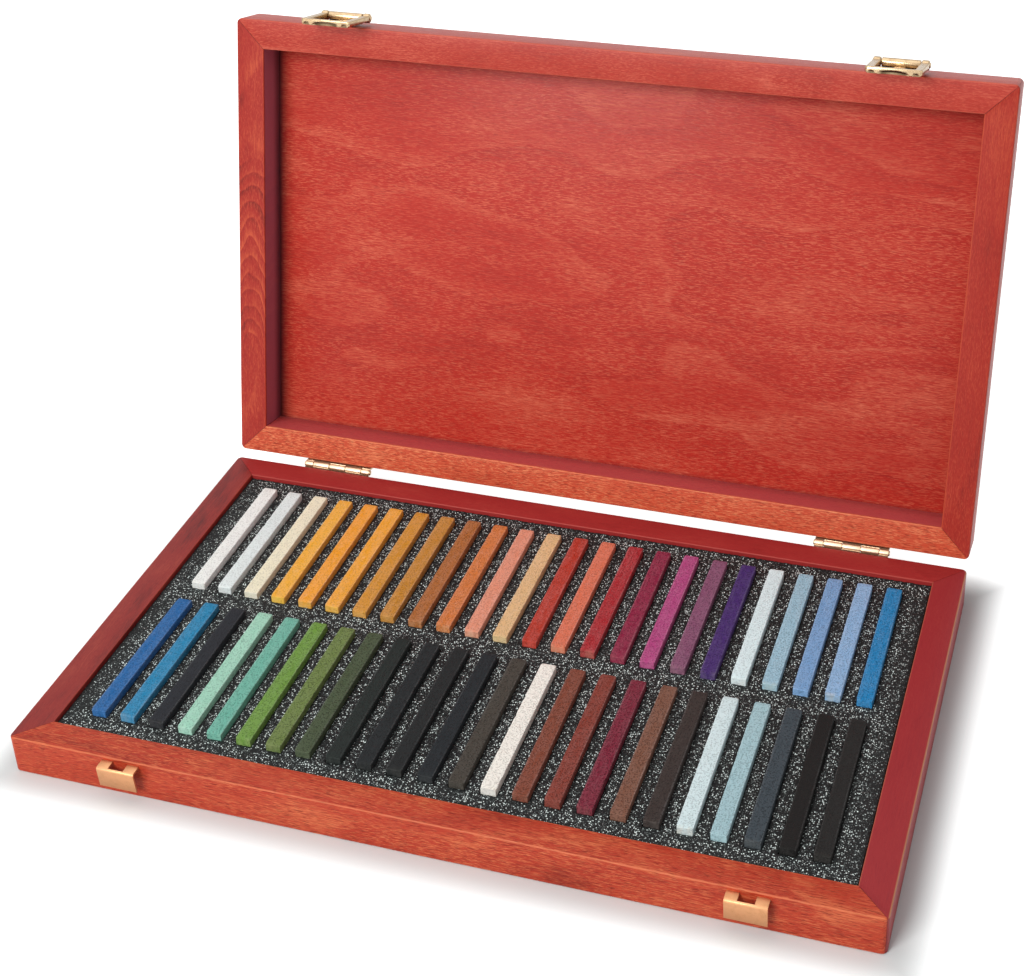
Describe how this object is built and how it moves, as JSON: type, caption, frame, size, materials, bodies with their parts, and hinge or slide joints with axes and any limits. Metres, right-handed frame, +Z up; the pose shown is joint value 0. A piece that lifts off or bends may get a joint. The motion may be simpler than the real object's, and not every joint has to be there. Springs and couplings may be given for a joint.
{
  "type": "pastel stick case",
  "caption": "Flat wooden case for square pastel sticks that lie in slotted foam, with a hinged lid and brass bail catches.",
  "frame": {"origin": "centre of the underside of the base", "axes": "+Z up, +X to the right along the long side, the front with the keepers faces -Y, lid drawn open at its stop"},
  "size_m": [0.4, 0.3236, 0.2622],
  "materials": {
    "stained_wood": "red stain under thin satin lacquer, grain showing",
    "stained_plywood": "red stained plywood, satin",
    "black_foam": "fine open cell foam, matt",
    "brass": "pale polished brass",
    "chalk_back_01_02": "hard pastel chalk, matt, white and grey white",
    "chalk_back_03_04": "hard pastel chalk, matt, cream and orange yellow",
    "chalk_back_05_06": "hard pastel chalk, matt, orange and amber",
    "chalk_back_07_08": "hard pastel chalk, matt, ochre",
    "chalk_back_09_10": "hard pastel chalk, matt, sienna and burnt orange",
    "chalk_back_11_12": "hard pastel chalk, matt, salmon and tan",
    "chalk_back_13_14": "hard pastel chalk, matt, brick and coral",
    "chalk_back_15_16": "hard pastel chalk, matt, red and crimson",
    "chalk_back_17_18": "hard pastel chalk, matt, magenta and plum",
    "chalk_back_19_20": "hard pastel chalk, matt, violet and pale blue",
    "chalk_back_21_22": "hard pastel chalk, matt, grey blue and cornflower",
    "chalk_back_23_24": "hard pastel chalk, matt, periwinkle and azure",
    "chalk_front_01_02": "hard pastel chalk, matt, blue",
    "chalk_front_03_04": "hard pastel chalk, matt, charcoal and mint",
    "chalk_front_05_06": "hard pastel chalk, matt, teal and green",
    "chalk_front_07_08": "hard pastel chalk, matt, olive",
    "chalk_front_09_10": "hard pastel chalk, matt, black green and black",
    "chalk_front_11_12": "hard pastel chalk, matt, black",
    "chalk_front_13_14": "hard pastel chalk, matt, grey brown and cream",
    "chalk_front_15_16": "hard pastel chalk, matt, sienna and red brown",
    "chalk_front_17_18": "hard pastel chalk, matt, maroon and brown",
    "chalk_front_19_20": "hard pastel chalk, matt, dark brown and ice blue",
    "chalk_front_21_22": "hard pastel chalk, matt, grey blue and slate",
    "chalk_front_23_24": "hard pastel chalk, matt, brown black and black"
  },
  "bodies": {
    "base": {"base_front_rail": "stained_wood", "base_back_rail": "stained_wood", "base_left_rail": "stained_wood", "base_right_rail": "stained_wood", "base_bottom_panel": "stained_plywood", "foam_underlay": "black_foam", "foam_slotted_tray": "black_foam", "left_hinge_base_leaf": "brass", "right_hinge_base_leaf": "brass", "left_hinge_pin": "brass", "right_hinge_pin": "brass", "hinge_base_screws": "brass", "left_keeper": "brass", "right_keeper": "brass"},
    "lid": {"lid_front_rail": "stained_wood", "lid_back_rail": "stained_wood", "lid_left_rail": "stained_wood", "lid_right_rail": "stained_wood", "lid_panel": "stained_plywood", "left_hinge_lid_leaf": "brass", "right_hinge_lid_leaf": "brass", "hinge_lid_screws": "brass", "left_catch_bracket": "brass", "right_catch_bracket": "brass", "left_catch_rod": "brass", "right_catch_rod": "brass", "catch_bracket_nails": "brass"},
    "left_bail": {"left_catch_bail": "brass"},
    "right_bail": {"right_catch_bail": "brass"},
    "back_pastels_01_02": {"back_pastels_01_02": "chalk_back_01_02"},
    "back_pastels_03_04": {"back_pastels_03_04": "chalk_back_03_04"},
    "back_pastels_05_06": {"back_pastels_05_06": "chalk_back_05_06"},
    "back_pastels_07_08": {"back_pastels_07_08": "chalk_back_07_08"},
    "back_pastels_09_10": {"back_pastels_09_10": "chalk_back_09_10"},
    "back_pastels_11_12": {"back_pastels_11_12": "chalk_back_11_12"},
    "back_pastels_13_14": {"back_pastels_13_14": "chalk_back_13_14"},
    "back_pastels_15_16": {"back_pastels_15_16": "chalk_back_15_16"},
    "back_pastels_17_18": {"back_pastels_17_18": "chalk_back_17_18"},
    "back_pastels_19_20": {"back_pastels_19_20": "chalk_back_19_20"},
    "back_pastels_21_22": {"back_pastels_21_22": "chalk_back_21_22"},
    "back_pastels_23_24": {"back_pastels_23_24": "chalk_back_23_24"},
    "front_pastels_01_02": {"front_pastels_01_02": "chalk_front_01_02"},
    "front_pastels_03_04": {"front_pastels_03_04": "chalk_front_03_04"},
    "front_pastels_05_06": {"front_pastels_05_06": "chalk_front_05_06"},
    "front_pastels_07_08": {"front_pastels_07_08": "chalk_front_07_08"},
    "front_pastels_09_10": {"front_pastels_09_10": "chalk_front_09_10"},
    "front_pastels_11_12": {"front_pastels_11_12": "chalk_front_11_12"},
    "front_pastels_13_14": {"front_pastels_13_14": "chalk_front_13_14"},
    "front_pastels_15_16": {"front_pastels_15_16": "chalk_front_15_16"},
    "front_pastels_17_18": {"front_pastels_17_18": "chalk_front_17_18"},
    "front_pastels_19_20": {"front_pastels_19_20": "chalk_front_19_20"},
    "front_pastels_21_22": {"front_pastels_21_22": "chalk_front_21_22"},
    "front_pastels_23_24": {"front_pastels_23_24": "chalk_front_23_24"}
  },
  "joints": [
    {"name": "lid_hinge", "type": "hinge", "parent": "base", "child": "lid", "pos_m": [0, 0.1215, 0.02025], "axis": [1, 0, 0], "range_deg": [0, 103.5]},
    {"name": "left_catch_turn", "type": "hinge", "parent": "lid", "child": "left_bail", "pos_m": [-0.1425, 0.1894, 0.25488], "axis": [-1, 0, 0], "range_deg": [0, 165]},
    {"name": "right_catch_turn", "type": "hinge", "parent": "lid", "child": "right_bail", "pos_m": [0.1425, 0.1894, 0.25488], "axis": [-1, 0, 0], "range_deg": [0, 165]},
    {"name": "lift_back_01_02", "type": "slide", "parent": "base", "child": "back_pastels_01_02", "axis": [0, 0, 1], "range_m": [0, 0.008]},
    {"name": "lift_back_03_04", "type": "slide", "parent": "base", "child": "back_pastels_03_04", "axis": [0, 0, 1], "range_m": [0, 0.008]},
    {"name": "lift_back_05_06", "type": "slide", "parent": "base", "child": "back_pastels_05_06", "axis": [0, 0, 1], "range_m": [0, 0.008]},
    {"name": "lift_back_07_08", "type": "slide", "parent": "base", "child": "back_pastels_07_08", "axis": [0, 0, 1], "range_m": [0, 0.008]},
    {"name": "lift_back_09_10", "type": "slide", "parent": "base", "child": "back_pastels_09_10", "axis": [0, 0, 1], "range_m": [0, 0.008]},
    {"name": "lift_back_11_12", "type": "slide", "parent": "base", "child": "back_pastels_11_12", "axis": [0, 0, 1], "range_m": [0, 0.008]},
    {"name": "lift_back_13_14", "type": "slide", "parent": "base", "child": "back_pastels_13_14", "axis": [0, 0, 1], "range_m": [0, 0.008]},
    {"name": "lift_back_15_16", "type": "slide", "parent": "base", "child": "back_pastels_15_16", "axis": [0, 0, 1], "range_m": [0, 0.008]},
    {"name": "lift_back_17_18", "type": "slide", "parent": "base", "child": "back_pastels_17_18", "axis": [0, 0, 1], "range_m": [0, 0.008]},
    {"name": "lift_back_19_20", "type": "slide", "parent": "base", "child": "back_pastels_19_20", "axis": [0, 0, 1], "range_m": [0, 0.008]},
    {"name": "lift_back_21_22", "type": "slide", "parent": "base", "child": "back_pastels_21_22", "axis": [0, 0, 1], "range_m": [0, 0.008]},
    {"name": "lift_back_23_24", "type": "slide", "parent": "base", "child": "back_pastels_23_24", "axis": [0, 0, 1], "range_m": [0, 0.008]},
    {"name": "lift_front_01_02", "type": "slide", "parent": "base", "child": "front_pastels_01_02", "axis": [0, 0, 1], "range_m": [0, 0.008]},
    {"name": "lift_front_03_04", "type": "slide", "parent": "base", "child": "front_pastels_03_04", "axis": [0, 0, 1], "range_m": [0, 0.008]},
    {"name": "lift_front_05_06", "type": "slide", "parent": "base", "child": "front_pastels_05_06", "axis": [0, 0, 1], "range_m": [0, 0.008]},
    {"name": "lift_front_07_08", "type": "slide", "parent": "base", "child": "front_pastels_07_08", "axis": [0, 0, 1], "range_m": [0, 0.008]},
    {"name": "lift_front_09_10", "type": "slide", "parent": "base", "child": "front_pastels_09_10", "axis": [0, 0, 1], "range_m": [0, 0.008]},
    {"name": "lift_front_11_12", "type": "slide", "parent": "base", "child": "front_pastels_11_12", "axis": [0, 0, 1], "range_m": [0, 0.008]},
    {"name": "lift_front_13_14", "type": "slide", "parent": "base", "child": "front_pastels_13_14", "axis": [0, 0, 1], "range_m": [0, 0.008]},
    {"name": "lift_front_15_16", "type": "slide", "parent": "base", "child": "front_pastels_15_16", "axis": [0, 0, 1], "range_m": [0, 0.008]},
    {"name": "lift_front_17_18", "type": "slide", "parent": "base", "child": "front_pastels_17_18", "axis": [0, 0, 1], "range_m": [0, 0.008]},
    {"name": "lift_front_19_20", "type": "slide", "parent": "base", "child": "front_pastels_19_20", "axis": [0, 0, 1], "range_m": [0, 0.008]},
    {"name": "lift_front_21_22", "type": "slide", "parent": "base", "child": "front_pastels_21_22", "axis": [0, 0, 1], "range_m": [0, 0.008]},
    {"name": "lift_front_23_24", "type": "slide", "parent": "base", "child": "front_pastels_23_24", "axis": [0, 0, 1], "range_m": [0, 0.008]}
  ]
}
